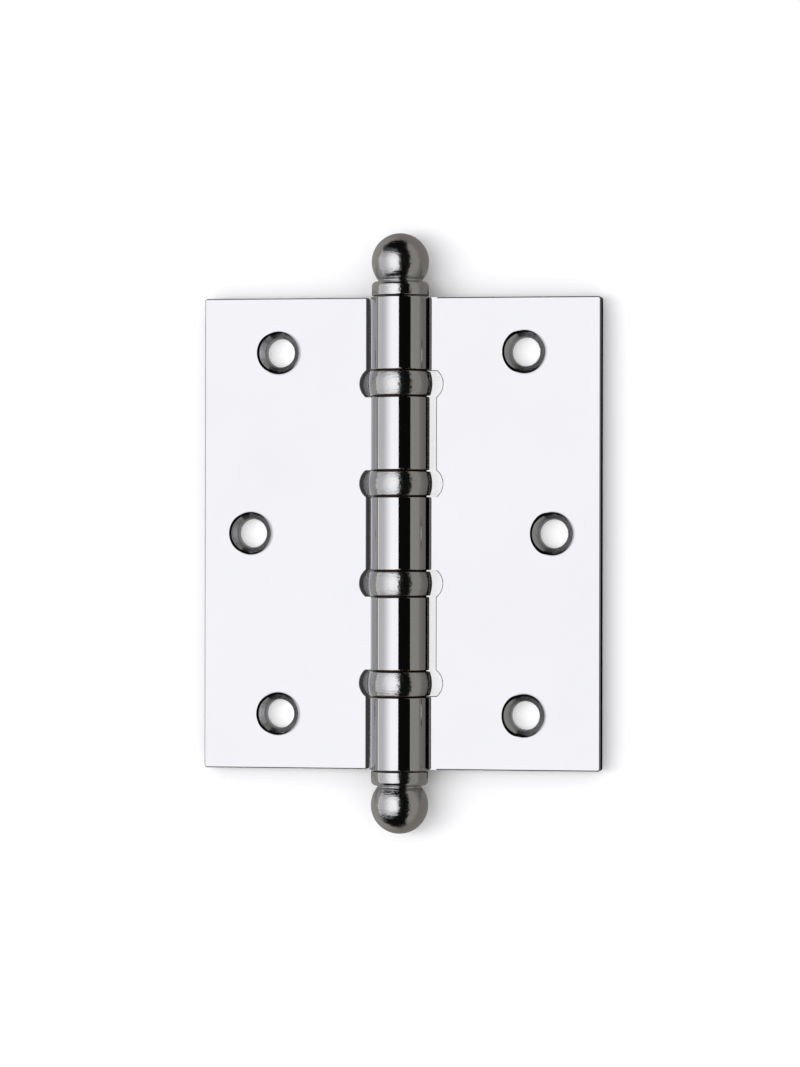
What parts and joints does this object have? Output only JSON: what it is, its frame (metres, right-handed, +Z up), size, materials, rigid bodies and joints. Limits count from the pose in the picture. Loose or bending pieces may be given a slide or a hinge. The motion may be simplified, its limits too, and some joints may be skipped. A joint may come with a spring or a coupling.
{
  "type": "butt hinge",
  "caption": "Ball-bearing butt hinge with countersunk screw holes, crowned bearing rings in the barrel and ball finials, lying open and flat.",
  "frame": {"origin": "on the floor under the middle of the pin, with the hinge lying open on its back", "axes": "+X across the open leaves towards the leaf with three knuckles, +Y along the pin, +Z up out of the countersunk faces"},
  "size_m": [0.0866, 0.1296, 0.0139],
  "materials": {
    "leaf_chrome": "polished chrome plate on brass",
    "ring_chrome": "polished chrome plate",
    "finial_chrome": "polished chrome plate on turned brass",
    "pin_steel": "ground",
    "race_bronze": "turned phosphor bronze",
    "cage_brass": "stamped brass",
    "ball_steel": "polished bearing steel"
  },
  "bodies": {
    "right_leaf_body": {"right_leaf": "leaf_chrome", "upper_race_1": "race_bronze", "lower_race_2": "race_bronze", "upper_race_3": "race_bronze", "lower_race_4": "race_bronze"},
    "left_leaf_body": {"left_leaf": "leaf_chrome", "lower_race_1": "race_bronze", "upper_race_2": "race_bronze", "lower_race_3": "race_bronze", "upper_race_4": "race_bronze"},
    "pin_body": {"hinge_pin": "pin_steel", "top_ball_finial": "finial_chrome", "bottom_ball_finial": "finial_chrome"},
    "ring_1_body": {"bearing_ring_1": "ring_chrome"},
    "cage_1_body": {"ball_cage_1": "cage_brass", "bearing_balls_1": "ball_steel"},
    "ring_2_body": {"bearing_ring_2": "ring_chrome"},
    "cage_2_body": {"ball_cage_2": "cage_brass", "bearing_balls_2": "ball_steel"},
    "ring_3_body": {"bearing_ring_3": "ring_chrome"},
    "cage_3_body": {"ball_cage_3": "cage_brass", "bearing_balls_3": "ball_steel"},
    "ring_4_body": {"bearing_ring_4": "ring_chrome"},
    "cage_4_body": {"ball_cage_4": "cage_brass", "bearing_balls_4": "ball_steel"}
  },
  "joints": [
    {"name": "leaf_swing", "type": "hinge", "parent": "right_leaf_body", "child": "left_leaf_body", "pos_m": [0, 0, 0.00695], "axis": [0, 1, 0], "range_deg": [0, 180]},
    {"name": "pin_spin", "type": "hinge", "parent": "right_leaf_body", "child": "pin_body", "pos_m": [0, 0, 0.00695], "axis": [0, 1, 0], "continuous": true},
    {"name": "ring_1_spin", "type": "hinge", "parent": "right_leaf_body", "child": "ring_1_body", "pos_m": [0, 0, 0.00695], "axis": [0, 1, 0], "continuous": true},
    {"name": "ring_2_spin", "type": "hinge", "parent": "right_leaf_body", "child": "ring_2_body", "pos_m": [0, 0, 0.00695], "axis": [0, 1, 0], "continuous": true},
    {"name": "ring_3_spin", "type": "hinge", "parent": "right_leaf_body", "child": "ring_3_body", "pos_m": [0, 0, 0.00695], "axis": [0, 1, 0], "continuous": true},
    {"name": "ring_4_spin", "type": "hinge", "parent": "right_leaf_body", "child": "ring_4_body", "pos_m": [0, 0, 0.00695], "axis": [0, 1, 0], "continuous": true},
    {"name": "cage_1_roll", "type": "hinge", "parent": "right_leaf_body", "child": "cage_1_body", "pos_m": [0, 0, 0.00695], "axis": [0, 1, 0], "range_deg": [0, 90]},
    {"name": "cage_2_roll", "type": "hinge", "parent": "right_leaf_body", "child": "cage_2_body", "pos_m": [0, 0, 0.00695], "axis": [0, 1, 0], "range_deg": [0, 90]},
    {"name": "cage_3_roll", "type": "hinge", "parent": "right_leaf_body", "child": "cage_3_body", "pos_m": [0, 0, 0.00695], "axis": [0, 1, 0], "range_deg": [0, 90]},
    {"name": "cage_4_roll", "type": "hinge", "parent": "right_leaf_body", "child": "cage_4_body", "pos_m": [0, 0, 0.00695], "axis": [0, 1, 0], "range_deg": [0, 90]}
  ],
  "couplings": [
    {"joint": "cage_1_roll", "follows": "leaf_swing", "ratio": 0.5},
    {"joint": "cage_2_roll", "follows": "leaf_swing", "ratio": 0.5},
    {"joint": "cage_3_roll", "follows": "leaf_swing", "ratio": 0.5},
    {"joint": "cage_4_roll", "follows": "leaf_swing", "ratio": 0.5}
  ]
}
